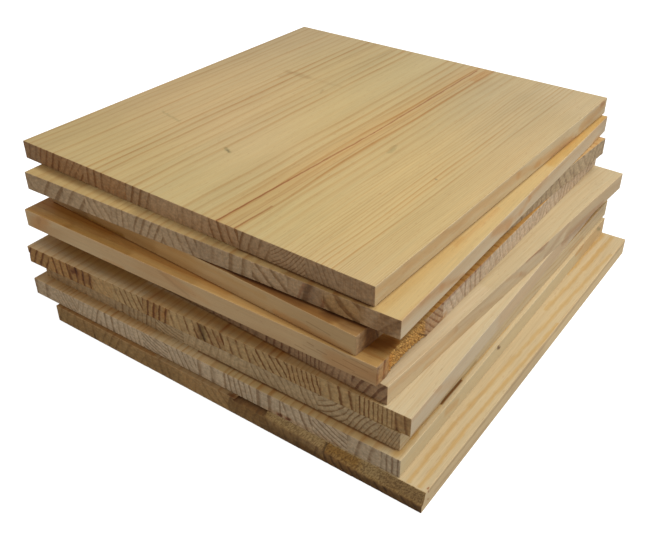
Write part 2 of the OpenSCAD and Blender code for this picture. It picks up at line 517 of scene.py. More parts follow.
def lifted(board, points):
    """Points with the underside raised where the board doesn't lie flat."""
    a, b, h = points.T
    rise = np.zeros(len(points))
    near_side = 1 - smooth(0.0, EDGE_GAP_DEPTH, a)
    if board.node in OPEN_SIDES:
        rise = EDGE_GAP * near_side * smooth(0.0, EDGE_GAP_START, b)
    if board.node == "third_board":
        start, end, high = OPENING
        arch = np.sin(math.pi * np.clip((b - start) / (end - start), 0, 1)) * near_side
        rise = np.maximum(rise, high * np.minimum(1.6 * arch, 1))
    if board.node in GAPS:
        along_front, along_side, high = GAPS[board.node]
        near = np.clip(1 - a / along_front - b / along_side, 0, 1)
        rise = np.maximum(rise, high * np.minimum(2.2 * near, 1))
    moved = points.copy()
    moved[:, 2] += rise * (1 - smooth(0.0, LIFT_END, h))
    return moved


def near_ends(places, length):
    """1 at both ends of a length and 0 from the rounding on."""
    return np.clip(1 - np.minimum(places, length - places) / ARRIS, 0, 1)


def named_numbers(mesh, name, domain, values):
    """Stores numbers, or vectors, on the mesh for its material."""
    values = np.asarray(values, np.float32)
    vector = values.ndim > 1
    layer = mesh.attributes.new(name, "FLOAT_VECTOR" if vector else "FLOAT", domain)
    layer.data.foreach_set("vector" if vector else "value", values.ravel())


def linked(name, data):
    """A new object of the scene with that data."""
    made = bpy.data.objects.new(name, data)
    bpy.context.scene.collection.objects.link(made)
    return made


def board_piece(board):
    """The board's mesh, with what its material needs stored on it."""
    made = lattice(board)
    plain = made.points()
    solid = sawn_end(board, rounded(plain, board))
    torn = np.zeros(len(plain))
    if board.node in SHAPERS:
        solid, torn = SHAPERS[board.node](board, solid)
    points = solid if board.node == "bottom_board" else lifted(board, solid)
    mesh = bpy.data.meshes.new(board.node + "_pine")
    faces = [face[::-1] for face in made.faces] if board.node in TURNED else made.faces
    mesh.from_pydata(board.placed(points), [], faces)
    for name, values in (
        ("wood", plain),
        ("solid", solid),
        ("sawn", near_ends(plain[:, 1], board.deep)),
        ("torn", np.clip(torn, 0, 1)),
        ("edge", near_ends(plain[:, 0], board.wide)),
    ):
        named_numbers(mesh, name, "POINT", values)
    middles = [plain[face, 0].mean() for face in made.faces]
    owner = [board.staves[i] for i in np.searchsorted(board.joints, middles)]
    for name, values in (
        ("centre", [(s.centre_a, s.centre_h, s.first) for s in owner]),
        ("rings", [(s.gap, s.ends, s.lines) for s in owner]),
        ("cast", [(s.warm, s.tone, s.seed) for s in owner]),
    ):
        named_numbers(mesh, name, "FACE", values)
    mesh.shade_smooth()
    return linked(board.node + "_pine", mesh)


# ---------------- materials


class Shader:
    """Adds nodes to one tree. Inputs may be numbers, places, colours or other outputs."""

    def __init__(self, tree):
        self.tree = tree

    @classmethod
    def of(cls, owner):
        """One for the emptied tree of a material or a world."""
        owner.use_nodes = True
        owner.node_tree.nodes.clear()
        return cls(owner.node_tree)

    def node(self, kind, given=(), **settings):
        """A new node with its settings made and its inputs given by name or number."""
        made = self.tree.nodes.new(kind)
        for name, value in settings.items():
            setattr(made, name, value)
        for key, value in dict(given).items():
            socket = made.inputs[key]
            if isinstance(value, bpy.types.NodeSocket):
                self.tree.links.new(value, socket)
            elif socket.type == "RGBA":
                socket.default_value = (*value, 1.0)
            else:
                socket.default_value = value
        return made

    def math(self, operation, *values, clamp=False):
        made = self.node("ShaderNodeMath", enumerate(values), operation=operation)
        made.use_clamp = clamp
        return made.outputs[0]

    def times(self, *values):
        return self.math("MULTIPLY", *values)

    def minus(self, *values, clamp=False):
        return self.math("SUBTRACT", *values, clamp=clamp)

    def fma(self, value, scale, added, clamp=False):
        """The value times scale, plus what is added."""
        return self.math("MULTIPLY_ADD", value, scale, added, clamp=clamp)

    def ease(self, low, high, value):
        """0 below low and 1 above high, smooth between."""
        given = {"Value": value, "From Min": low, "From Max": high}
        made = self.node("ShaderNodeMapRange", given, interpolation_type="SMOOTHSTEP")
        return made.outputs["Result"]

    def mix(self, factor, one, two, blend="MIX", kind="RGBA"):
        """Between two colours."""
        given = {"Factor": factor, "A": one, "B": two}
        made = self.node("ShaderNodeMix", given, data_type=kind, blend_type=blend)
        return made.outputs["Result"]

    def tint(self, factor, one, two):
        """One colour multiplied by the other, as far as the factor says."""
        return self.mix(factor, one, two, "MULTIPLY")

    def blend(self, factor, one, two):
        """Between two numbers."""
        return self.mix(factor, one, two, kind="FLOAT")

    def vector(self, operation, *values, scale=None):
        given = dict(enumerate(values))
        if scale is not None:
            given["Scale"] = scale
        made = self.node("ShaderNodeVectorMath", given, operation=operation)
        return made.outputs["Value" if operation in ("LENGTH", "DOT_PRODUCT") else "Vector"]

    def stored(self, name, output="Fac"):
        return self.node("ShaderNodeAttribute", attribute_name=name).outputs[output]

    def split(self, vector):
        return self.node("ShaderNodeSeparateXYZ", {0: vector}).outputs

    def tilted(self, vector):
        """The place turned by 40 degrees within a sawn end."""
        given = {"Vector": vector, "Angle": math.radians(40)}
        return self.node("ShaderNodeVectorRotate", given, rotation_type="Y_AXIS").outputs[0]

    def clouds(self, place, sizes, detail=2.0, seed=None, output="Fac"):
        """Smooth noise, 0 to 1, with clouds of these sizes along a, b and h."""
        place = self.vector("MULTIPLY", place, [1 / size for size in sizes])
        given = {"Vector": place, "Scale": 1.0, "Detail": detail}
        if seed is None:
            return self.node("ShaderNodeTexNoise", given).outputs[output]
        given["W"] = seed
        return self.node("ShaderNodeTexNoise", given, noise_dimensions="4D").outputs[output]


# Pine as planed: the light wood and its dark lines
FACE_LIGHT = (0.60, 0.440, 0.212)
FACE_DARK = (0.47, 0.262, 0.088)
# Torn fibres, of the boards that have them: light, dark, and how long the chips are
TORN = {
    "sixth_board": ((0.72, 0.43, 0.125), (0.28, 0.13, 0.03), 3.6),
    "bottom_board": ((0.455, 0.295, 0.118), (0.235, 0.138, 0.05), 2.0),
}

# What warmth and the marks below multiply the wood's colour by
WARM = (1.02, 0.80, 0.56)
TINTS = {
    "resin": (0.62, 0.36, 0.24),
    "orange": (0.93, 0.7, 0.47),
    "brown": (0.66, 0.56, 0.46),
    "plum": (0.42, 0.34, 0.34),
    "soot": (0.26, 0.24, 0.24),
    "moss": (0.62, 0.66, 0.6),
    "shade": (0.82, 0.8, 0.8),
    # painted shade: the top board darker towards its back
    "haze": (0.88, 0.92, 1.0),
    "dim": (0.91, 0.94, 0.86),
    "honey": (0.93, 0.78, 0.5),
    "ochre": (0.62, 0.52, 0.32),
    "umber": (0.66, 0.52, 0.22),
    # painted shade on strips under overhanging boards and on the bottom board's lip
    "dusk": (0.5, 0.4, 0.3),
    # painted shade in nooks and under overhanging boards
    "deep": (0.42, 0.3, 0.17),
    "pale": (1.1, 1.12, 1.22),
    # painted shadow in the opening under the third board's right side
    "gap": (0.12, 0.07, 0.04),
    # painted shadow: dark lines where a board meets, or stands over, the one below
    "crack": (0.38, 0.22, 0.1),
    # painted shadow in the pocket at the left of the bottom board's tear
    "slit": (0.4, 0.25, 0.13),
    "straw": (1.0, 1.0, 0.85),
    "ash": (1.2, 1.4, 1.66),
    # painted warm shade on tops under overhanging boards
    "ember": (0.85, 0.64, 0.34),
    # painted shadow along the edge of an overhanging board
    "gloom": (0.5, 0.4, 0.3),
    "amber": (1.3, 1.0, 0.5),
}
# Tints whose marks have clean edges
STRAIGHT = ("crack", "slit", "gap", "ember", "gloom")

# For each board: the light and dark colours of its sawn end, the tints over its faces
# and over its narrow sides, and how far its rings wander along the grain
LOOKS = {
    "top_board": (
        (0.46, 0.285, 0.145), (0.27, 0.135, 0.05),
        (1.0, 1.0, 1.0), (0.98, 1.03, 1.22), 2.5,
    ),
    "eighth_board": (
        (0.5, 0.34, 0.19), (0.3, 0.175, 0.08),
        (1.02, 1.01, 0.92), (1.02, 1.09, 1.42), 6.0,
    ),
    "seventh_board": (
        (0.42, 0.26, 0.125), (0.24, 0.13, 0.06),
        (0.99, 0.85, 0.7), (0.99, 0.88, 0.82), 5.0,
    ),
    "sixth_board": (
        (0.53, 0.4, 0.265), (0.33, 0.2, 0.11),
        (0.94, 0.79, 0.57), (1.03, 0.95, 0.97), 5.0,
    ),
    "fifth_board": (
        (0.4, 0.24, 0.12), (0.2, 0.095, 0.04),
        (1.0, 1.08, 1.28), (1.06, 1.1, 1.34), 5.0,
    ),
    "fourth_board": (
        (0.49, 0.315, 0.135), (0.22, 0.1, 0.03),
        (1.03, 1.14, 1.42), (0.98, 1.05, 1.41), 5.0,
    ),
    "third_board": (
        (0.5, 0.355, 0.19), (0.27, 0.155, 0.065),
        (0.98, 0.95, 0.9), (0.98, 1.02, 1.2), 5.0,
    ),
    "second_board": (
        (0.57, 0.425, 0.265), (0.32, 0.205, 0.11),
        (1.05, 1.12, 1.32), (1.02, 1.1, 1.31), 4.0,
    ),
    "bottom_board": (
        (0.45, 0.27, 0.105), (0.24, 0.125, 0.04),
        (1.0, 1.06, 1.24), (1.15, 1.16, 1.28), 3.0,
    ),
}

# Stains, streaks and patches of each board's end, side and top, and the painted shade and
# shadow noted below: the tint, where each starts and ends, how far it reaches to both
# sides, and how strong it is. The places are a and h on the sawn end, b and h on the side
# at a = 0, and a and b on the top.
MARKS = {}
MARKS["top_board", "side"] = [
    ("orange", 0, 13, 225, 13, 7, 0.55),
    ("orange", 225, 12, 270, 7, 7, 0.5),
    ("orange", 265, 7, 345, 4, 8, 0.55),
    ("resin", 300, 1, 355, 1, 5, 0.4),
    ("orange", 365, 8, 425, 13, 8, 0.7),
    ("resin", 415, 15, 422, 15, 4, 0.5),
    ("shade", 395, 9, 430, 9, 30, 0.45),
]
MARKS["top_board", "top"] = [
    ("resin", 154, 0, 147, 213, 1.6, 0.9),
    ("resin", 147, 213, 148, 420, 1.6, 0.9),
    ("resin", 139, 0, 138, 420, 1.1, 0.35),
    ("resin", 134, 0, 133, 45, 1.5, 0.6),
    ("orange", 147, 0, 147, 420, 26, 0.35),
    ("orange", 136, 395, 136, 425, 10, 0.6),
    ("brown", 263, 420, 278, 230, 1.6, 0.3),
    ("moss", 239, 103, 230, 99, 3, 0.8),
    ("soot", 235, 101, 231, 99, 1.8, 0.45),
    ("moss", 350, 128, 319, 121, 2.6, 0.4),
    ("brown", 320, 292, 288, 291, 7, 0.35),
    ("brown", 316, 274, 315, 292, 3.8, 0.4),
    ("brown", 288, 291, 243, 291, 4.5, 0.15),
    ("brown", 254, 272, 250, 263, 2.4, 0.4),
    ("moss", 115, 200, 111, 186, 4, 0.5),
    ("soot", 50, 166, 49, 165, 1.6, 0.5),
    ("shade", 405, 0, 405, 420, 60, 0.5),
    ("pale", 12, 400, 40, 420, 60, 0.5),
    # painted shade: the top darker towards its back, where less light falls
    ("haze", 0, 440, 420, 440, 260, 1),
    ("dim", 440, 20, 170, 0, 150, 0.9),
    ("straw", 60, 90, 240, 350, 150, 0.65),
]
MARKS["eighth_board", "end"] = [
    ("plum", 83, 1, 79, 17, 8, 0.6),
    ("plum", 72, 2, 70, 17, 8, 0.3),
    ("shade", 190, 9, 180, 9, 28, 0.8),
    ("resin", 90, 1, 84, 17, 2.4, 0.6),
    ("resin", 68, 0, 67, 8, 2.6, 0.6),
    ("honey", 58, 9, 42, 9, 18, 0.8),
    ("brown", 20, 2, 12, 17, 9, 0.8),
    ("brown", 14, 15, 4, 18, 5, 0.5),
]
MARKS["eighth_board", "side"] = [
    ("orange", 0, 17, 40, 16, 4, 0.45),
    ("orange", 30, 15, 60, 12, 7, 0.45),
    ("orange", 60, 12, 98, 0, 6, 0.65),
    ("brown", 75, 8, 98, 0, 2.6, 0.3),
    ("orange", 152, 16, 183, 6, 10, 0.75),
    ("orange", 180, 6, 207, 7, 6, 0.45),
    ("orange", 207, 7, 225, 13, 5, 0.55),
    ("orange", 225, 14, 265, 18, 4.5, 0.6),
    ("orange", 395, 1, 410, 1, 5, 0.7),
    ("shade", 425, 9, 425, 12, 26, 0.7),
]
MARKS["eighth_board", "top"] = [
    ("honey", 20, 0, 15, 120, 9, 0.4),
    ("orange", 15, 110, 12, 185, 4, 0.4),
    ("honey", 8, 290, 3, 420, 10, 0.8),
    ("orange", 8, 330, 6, 375, 4, 0.25),
    # painted shade and shadow on the strip in front of and under the top board's front edge
    ("dusk", 100, 2, 32, 2, 12, 1),
    ("dusk", 180, 2, 112, 2, 12, 0.65),
    ("dusk", 260, 2, 192, 2, 13, 0.5),
    ("ochre", 425, 3, 272, 3, 14, 0.35),
    ("gloom", 425, 17, 342, 14.5, 9, 0.85),
    ("gloom", 332, 14.2, 292, 13, 8, 0.5),
    ("gloom", 283, 11.5, 150, 9, 6.5, 0.35),
]
MARKS["seventh_board", "end"] = [
    ("ash", 210, 9, 440, 9, 50, 1),
    # painted warm shade in the nook under the eighth board
    ("deep", 18, 0, 18, 18, 17, 1),
    ("honey", 18, 0, 18, 18, 17, 0.8),
]
MARKS["seventh_board", "side"] = [
    ("honey", 190, 9, 280, 9, 40, 0.6),
    # painted contact shade along the front's lower edge
    ("umber", 265, 0, 335, 0, 6, 1),
    ("shade", -10, 9, 40, 9, 40, 0.45),
    ("orange", 8, 1, 80, 3, 5, 0.6),
    ("brown", 24, 7.5, 47, 9.2, 0.8, 0.7),
    # painted shadow of the eighth board on the seventh's front: the deep and ochre rows
    ("deep", 430, 8, 320, 8, 13, 0.6),
    ("ochre", 316, 8, 225, 8, 14, 0.35),
    ("brown", 300, 6, 120, 3, 3, 0.2),
    ("honey", 200, 14, 90, 12, 4, 0.4),
]
MARKS["seventh_board", "top"] = [
    # painted shade and shadow under the eighth board, on all of the seventh's top
    ("deep", 3, 30, 3, 120, 16, 0.8),
    ("dusk", 3, 60, 2, 190, 12, 0.45),
    ("honey", 3, 25, 3, 110, 13, 0.7),
    ("gloom", 2, 2, 3, 14, 8, 0.75),
    ("deep", 13, 0, 13, 32, 12, 1),
    ("gloom", 19, 425, 19, 350, 8, 0.7),
    ("gloom", 22, 341, 22, 285, 8, 0.25),
]
MARKS["sixth_board", "end"] = [
    ("orange", 22, 9, 84, 9, 16, 0.5),
    ("amber", 5, 7, 16, 13, 12, 0.6),
    ("orange", 97, 0, 101, 3, 6, 0.8),
    ("resin", 8, 3, 10, 18, 1.4, 0.3),
    ("brown", 15, 2, 17, 17, 1.4, 0.4),
    ("soot", 61, 9, 72, 1, 1.6, 0.8),
    ("resin", 95, 18, 180, 18, 3, 0.6),
]
MARKS["sixth_board", "side"] = [
    ("ash", 270, 9, 330, 9, 45, 0.28),
    ("orange", 386, 4, 370, 15, 12, 0.8),
    ("brown", 381, 8, 378, 13, 4, 0.35),
    ("orange", 292, 1, 268, 0, 5, 0.5),
    ("brown", 222, 17, 187, 4, 2.6, 0.35),
    ("orange", 215, 16, 165, 6, 5, 0.3),
    ("brown", 57, 11.6, 63, 12.3, 0.8, 0.8),
    ("brown", 45, 8.6, 54, 9.4, 0.8, 0.8),
    ("brown", 66, 3.6, 75, 4.4, 0.8, 0.8),
    ("brown", 50, 6.6, 67, 7.8, 0.7, 0.5),
    ("brown", 28, 15.4, 40, 16.6, 0.7, 0.6),
    ("shade", 0, 9, 50, 9, 24, 0.6),
    ("orange", 0, 9, 40, 6, 13, 0.6),
    ("brown", 4, 14, 24, 15.4, 0.7, 0.6),
    ("brown", 20, 4.6, 40, 6.2, 0.8, 0.7),
    ("brown", 8, 9.8, 30, 11.4, 0.7, 0.6),
    ("brown", 2, 2.5, 22, 3, 0.7, 0.5),
]
MARKS["sixth_board", "top"] = [
    # painted warm shade in the corner under the eighth board: these four rows
    ("shade", 14, 10, 28, 10, 20, 0.9),
    ("honey", 14, 10, 28, 10, 20, 0.35),
    ("deep", 29, 8, 15, 30, 14, 0.9),
    ("amber", 29, 8, 15, 30, 14, 0.6),
    # painted warm light on the strip along the front edge
    ("amber", 85, 1, 425, 1, 7, 0.45),
    # painted warm shade and shadow on the strip under the seventh board
    ("ochre", 2, 255, 2, 185, 12, 0.4),
    ("ochre", 2, 335, 2, 265, 13, 0.8),
    ("ochre", 2, 400, 2, 345, 13, 0.55),
    ("honey", 2, 425, 2, 345, 13, 0.5),
    ("ember", 22, 425, 18, 300, 14, 1),
    ("ember", 14, 288, 9, 150, 8, 0.6),
]
MARKS["fifth_board", "side"] = [
    ("orange", 0, 13, 95, 12, 5, 0.45),
    ("resin", 95, 12, 135, 9, 3.5, 0.16),
    ("resin", 135, 9, 176, 0, 3.5, 0.2),
    ("orange", 50, 2, 125, 2, 4, 0.4),
    ("orange", 178, 17, 205, 9, 4, 0.35),
    ("resin", 205, 9, 215, 3, 4.5, 0.3),
    ("resin", 216, 18, 256, 17, 4.5, 0.5),
    ("resin", 232, 17, 250, 13, 3.5, 0.2),
    ("resin", 254, 1, 300, 17, 5.5, 0.32),
    ("resin", 300, 3, 385, 1, 7, 0.4),
    ("brown", 310, 9, 425, 9, 18, 0.45),
    ("shade", 115, 9, 265, 9, 45, 0.6),
]
MARKS["fifth_board", "top"] = [
    ("pale", 4, 10, 8, 150, 11, 0.8),
    # painted warm shade on the strip under the sixth board
    ("ochre", 245, 3, 180, 3, 13, 0.3),
    ("ochre", 400, 3, 260, 3, 14, 0.7),
    ("honey", 415, 4, 335, 4, 14, 0.8),
]
MARKS["fourth_board", "end"] = [
    ("resin", 362, 12, 356, 13, 6, 0.7),
    ("plum", 362, 12, 357, 15, 4, 0.7),
    ("resin", 354, 9, 338, 11, 8, 0.35),
    ("plum", 350, 6, 347, 15, 2.4, 0.6),
    ("plum", 341, 5, 338, 15, 2.4, 0.6),
    ("orange", 259, 3, 256, 16, 4.5, 0.6),
    ("orange", 247, 8, 243, 17, 4.5, 0.6),
    ("brown", 204, 3, 203, 15, 6, 0.8),
    ("moss", 201, 3, 201, 15, 6, 1),
    ("resin", 184, 12, 181, 8, 4, 0.6),
    ("brown", 14, 6, 0, 14, 7, 0.5),
]
MARKS["fourth_board", "side"] = [
    ("orange", 0, 17, 45, 15, 4.5, 0.35),
    ("orange", 40, 15, 75, 0, 8, 0.3),
    ("orange", 160, 9, 310, 9, 16, 0.35),
    ("resin", 302, 13, 400, 0, 6.5, 0.42),
]
MARKS["fourth_board", "top"] = [
    # painted warm shade on the strip under the fifth board: these four rows
    ("orange", 430, 3, 38, 3, 15, 0.5),
    ("honey", 262, 2, 32, 2, 13, 0.55),
    ("ember", 430, 22, 290, 17, 13, 1),
    ("ember", 278, 15, 120, 10, 8, 0.9),
    ("resin", 182, 0, 182, 13, 4, 0.35),
    ("resin", 142, 0, 142, 13, 3, 0.35),
    ("resin", 130, 0, 129, 13, 4, 0.3),
    ("resin", 266, 0, 262, 13, 8, 0.2),
]
MARKS["third_board", "side"] = [
    # painted shadow in the opening under the third board's right side
    ("gap", 64, 0, 98, 0, 2.2, 1),
    ("brown", 60, 1, 10, 0, 2.4, 0.5),
    ("umber", 98, 1, 124, 2, 3.5, 0.6),
    ("orange", 20, 0, 60, 0, 3, 0.6),
    ("orange", 330, 8, 365, 4, 5, 0.4),
    ("shade", 420, 15, 360, 17, 8, 0.6),
]
MARKS["second_board", "end"] = [
    ("orange", 130, 1, 60, 1, 5.5, 0.4),
    ("resin", 116, 2, 113, 2, 3.5, 0.9),
    ("soot", 115, 2, 114, 2, 2.2, 0.6),
    ("resin", 107, 2, 104, 2, 3.5, 0.9),
    ("soot", 106, 2, 105, 2, 2.2, 0.6),
    ("brown", 61, 1, 53, 2, 3, 0.4),
]
MARKS["second_board", "side"] = [
    ("orange", 72, 12, 90, 8, 7, 0.55),
    ("soot", 166, 16, 170, 13, 2.6, 0.8),
    ("resin", 166, 16, 170, 13, 3.2, 0.6),
    ("orange", 350, 16, 368, 15, 4, 0.8),
    ("orange", 380, 9, 425, 9, 30, 0.5),
    ("moss", 412, 16, 424, 9, 3, 0.9),
]
MARKS["second_board", "top"] = [
    # painted shadow on the second board's top under the opening of the third board
    ("crack", 5, 72, 5, 106, 2, 1),
    ("honey", 6, 4, 6, 30, 6, 0.8),
    ("honey", 5.5, 25, 5, 200, 2.4, 0.8),
    # painted warm shade on the strip under the third board
    ("ochre", 180, 3, 34, 3, 13, 0.35),
    ("honey", 190, 4, 25, 4, 13, 0.4),
    ("orange", 265, 3, 190, 3, 13, 0.25),
    ("orange", 425, 3, 270, 3, 13, 0.6),
    ("ember", 425, 12, 250, 10, 8, 0.5),
    ("ember", 145, 7, 5, 7, 6, 0.35),
]
MARKS["bottom_board", "end"] = [
    # painted shadow in the pocket: this row and the umber one below it
    ("slit", 183, 16.8, 152, 16.8, 2.4, 1),
    ("umber", 183, 14, 152, 14, 8, 0.45),
    ("soot", 90, 11, 90, 18, 1.8, 0.8),
    ("honey", 85, 15, 62, 14, 10, 1),
    ("umber", 86, 15, 64, 14, 7, 0.35),
    ("brown", 30, 13, 0, 13, 11, 0.6),
    ("umber", 112, 2, 0, 1, 10, 0.8),
    ("ochre", 185, 8, 120, 5, 12, 0.55),
    # painted shade on the lip
    ("dusk", 150, 3, 96, 3, 6, 0.4),
    ("plum", 75, 1, 0, 0, 8, 0.2),
    ("soot", 360, 0, 360, 5, 1.8, 0.8),
    ("moss", 420, 9, 250, 9, 12, 0.4),
]
MARKS["bottom_board", "side"] = [
    ("brown", 12, 15.5, 100, 14.5, 2.4, 0.6),
    ("brown", 102, 14.5, 250, 14, 2.8, 0.5),
    ("brown", 252, 14, 440, 15, 3.2, 0.6),
    ("brown", 20, 6, 110, 4, 2.6, 0.4),
    ("resin", 8, 17, 10, 15, 1.3, 0.9),
    ("resin", 8, 8, 11, 6, 1.3, 0.7),
    ("shade", 0, 8, 150, 8, 18, 0.5),
    ("shade", 175, 9, 200, 9, 40, 0.8),
]
MARKS["bottom_board", "top"] = [
    # painted shadow at the pocket's mouth, then painted shade on the strip under the second
    # board
    ("slit", 188, 1.5, 150, 3, 6, 1),
    ("dusk", 195, 3, 420, 3, 15, 1),
    ("ember", 425, 2, 280, 2, 5, 0.75),
    ("honey", 16.3, 5, 17.3, 83, 3.2, 0.8),
    ("honey", 17.3, 86.8, 12.5, 198, 3.2, 0.75),
    ("honey", 12.5, 201.8, 2.5, 400, 3.2, 0.7),
    ("honey", 6.6, 5, 7, 88, 2.7, 0.85),
    ("honey", 7, 91.2, 1, 255, 2.7, 0.8),
    ("honey", 20, 270, 15.5, 353, 3.6, 0.7),
    ("honey", 15.5, 357, 13.5, 436, 3.8, 0.9),
    ("honey", 26, 340, 24, 436, 3.6, 0.9),
    ("resin", 0.8, 9, 0.8, 11, 1.5, 1),
]


# How much of a mark's reach is tinted fully, and the reach beyond which its edge
# doesn't get more ragged
MARK_CORE = 0.15
RAGGED_REACH = 5.0


def mark_group():
    """A node group that tints the paint along the line between two places."""
    group = bpy.data.node_groups.new("mark", "ShaderNodeTree")
    for kind, way, names in (
        ("NodeSocketColor", "INPUT", ("Paint", "Tint")),
        ("NodeSocketVector", "INPUT", ("Place", "Ragged", "Start", "End")),
        ("NodeSocketFloat", "INPUT", ("Reach", "Strength", "Side")),
        ("NodeSocketColor", "OUTPUT", ("Paint",)),
    ):
        for name in names:
            group.interface.new_socket(name, in_out=way, socket_type=kind)
    s = Shader(group)
    given = s.node("NodeGroupInput").outputs
    wide = s.math("MINIMUM", given["Reach"], RAGGED_REACH)
    wave = s.vector("SCALE", given["Ragged"], scale=wide)
    from_start = s.vector("SUBTRACT", s.vector("ADD", given["Place"], wave), given["Start"])
    whole = s.vector("SUBTRACT", given["End"], given["Start"])
    square = s.math("MAXIMUM", s.vector("DOT_PRODUCT", whole, whole), 0.01)
    part = s.math("DIVIDE", s.vector("DOT_PRODUCT", from_start, whole), square, clamp=True)
    off = s.vector("SUBTRACT", from_start, s.vector("SCALE", whole, scale=part))
    gap = s.math("DIVIDE", s.vector("LENGTH", off), given["Reach"])
    inside = s.minus(1.0, s.ease(MARK_CORE, 1.0, gap))
    factor = s.times(s.times(inside, given["Strength"]), given["Side"])
    s.node("NodeGroupOutput", {"Paint": s.tint(factor, given["Paint"], given["Tint"])})
    return group


# The painted shadow lines where boards meet the top of the one below: up to which part of
# the board's front the line there runs from its right corner, how dark it is, and how dark
# the line is along its right side
CONTACT = {
    "top_board": (0.32, 0.8, 0.35),
    "eighth_board": (0.5, 0.9, 0),
    "seventh_board": (0.99, 0.6, 0),
    "sixth_board": (0.99, 0.9, 0),
    "fifth_board": (0.99, 0.65, 0),
    "fourth_board": (0.5, 0.4, 0.35),
    "third_board": (0.5, 0.75, 0),
}
CONTACT_START = 0.01
CONTACT_REACH = 2.0


def contact_marks(board):
    """Marks that paint the shadow lines on a board's top where the board above meets it."""
    above = dict(zip(list(STAVES)[1:], STAVES)).get(board.node)
    if above not in CONTACT:
        return []
    corner, left, back = corner_frame(above)[:3]
    until, dark, side_dark = CONTACT[above]
    marks = []
    for edge, end, strength in ((left, until, dark), (back, 1.0, side_dark)):
        places = [corner + part * edge - board.corner for part in (CONTACT_START, end)]
        one, two = [board.axes @ place / MM for place in places]
        if strength:
            marks.append(("crack", *one[:2], *two[:2], CONTACT_REACH, strength))
    return marks


def marked(s, board, paint, wood):
    """The paint with the board's stains and streaks, and its painted shade and shadow, on
    it.
    """
    sides = {"end": s.stored("sawn"), "side": s.stored("edge")}
    sides["top"] = s.minus(1.0, s.math("ADD", *sides.values()), clamp=True)
    cells = s.clouds(wood, (5, 14, 5), 3.0, output="Color")
    ragged = s.vector("SUBTRACT", cells, (0.5, 0.5, 0.5))
    ragged = s.vector("MULTIPLY", ragged, (1.5, 2.4, 1.5))
    group = bpy.data.node_groups.get("mark") or mark_group()
    marks = [(side, *row) for side in sides for row in MARKS.get((board.node, side), ())]
    marks += [("top", *row) for row in contact_marks(board)]
    lay = {
        "end": lambda a, h: (a, 0, h),
        "side": lambda b, h: (0, b, h),
        "top": lambda a, b: (a, b, board.high),
    }
    for side, tint, *places, reach, strength in marks:
        given = {"Paint": paint, "Tint": TINTS[tint], "Strength": strength, "Reach": reach}
        given |= {"Place": wood, "Side": sides[side]}
        given |= {"Start": lay[side](*places[:2]), "End": lay[side](*places[2:])}
        given["Ragged"] = (0, 0, 0) if tint in STRAIGHT else ragged
        paint = s.node("ShaderNodeGroup", given, node_tree=group).outputs["Paint"]
    return paint


def ring_lines(s, wood, wander):
    """How far a point lies in a dark line (0 to 1), and how far through its ring."""
    a, b, h = s.split(wood)
    centre_a, centre_h, first = s.split(s.stored("centre", "Vector"))
    gap, ends, lines = s.split(s.stored("rings", "Vector"))
    seed = s.split(s.stored("cast", "Vector"))[2]
    away = s.ease(2.0, 70.0, b)
    slow = s.split(s.clouds(wood, (70, 190, 70), 1.0, seed, "Color"))
    quick = s.split(s.clouds(wood, (7, 60, 7), 3.0, seed, "Color"))
    moved = []
    for place, centre, n in ((a, centre_a, 0), (h, centre_h, 2)):
        drift = s.times(s.times(s.fma(slow[n], 2.0, -1.0), wander * 2), away)
        ripple = s.fma(quick[n], 2.0, -1.0)
        moved.append(s.math("ADD", s.minus(place, centre), s.math("ADD", drift, ripple)))
    radius = s.math("SQRT", s.fma(moved[0], moved[0], s.times(moved[1], moved[1])))
    ring = s.math("DIVIDE", s.minus(radius, first), gap)
    part = s.math("FRACT", ring)
    number = s.fma(seed, 17.0, s.math("FLOOR", ring))
    varied = s.node("ShaderNodeTexWhiteNoise", {"W": number}, noise_dimensions="1D")
    line = s.times(s.ease(0.50, 0.88, part), s.minus(1.0, s.ease(0.90, 1.0, part)))
    dark = s.blend(s.stored("sawn"), lines, ends)
    patchy = s.fma(s.clouds(wood, (9, 90, 5), 3.0, seed), 2.2, -0.1)
    dark = s.times(dark, s.math("MAXIMUM", patchy, 0.0))
    strength = s.times(dark, s.fma(varied.outputs["Value"], 0.9, 0.55))
    return s.times(line, strength), s.times(part, strength)


def planed(s, wood, line, ramp, cast, tint, edge_tint):
    """The colour of a planed face, and the height of its fibres."""
    warm, _, seed = cast
    fibre = s.clouds(wood, (0.55, 34, 0.55), 4.0, seed)
    streak = s.clouds(wood, (2.4, 150, 2.4), 3.0, seed)
    broad = s.clouds(wood, (24, 240, 24), 2.0)
    dash = s.ease(0.66, 0.72, s.clouds(wood, (0.7, 8, 0.7), 1.0, seed))
    shade = s.fma(line, 0.85, s.times(ramp, 0.28), clamp=True)
    face = s.mix(shade, FACE_LIGHT, FACE_DARK)
    warmth = s.fma(streak, 0.5, s.fma(warm, 0.15, -0.2))
    face = s.tint(s.math("MAXIMUM", warmth, 0.0), face, WARM)
    face = s.tint(1.0, face, s.fma(fibre, 0.42, s.fma(broad, 0.22, 0.68)))
    face = s.tint(s.times(dash, 0.35), face, TINTS["resin"])
    face = s.tint(1.0, face, s.mix(s.stored("edge"), tint, edge_tint))
    return face, s.fma(fibre, 0.06, s.times(line, 0.04))


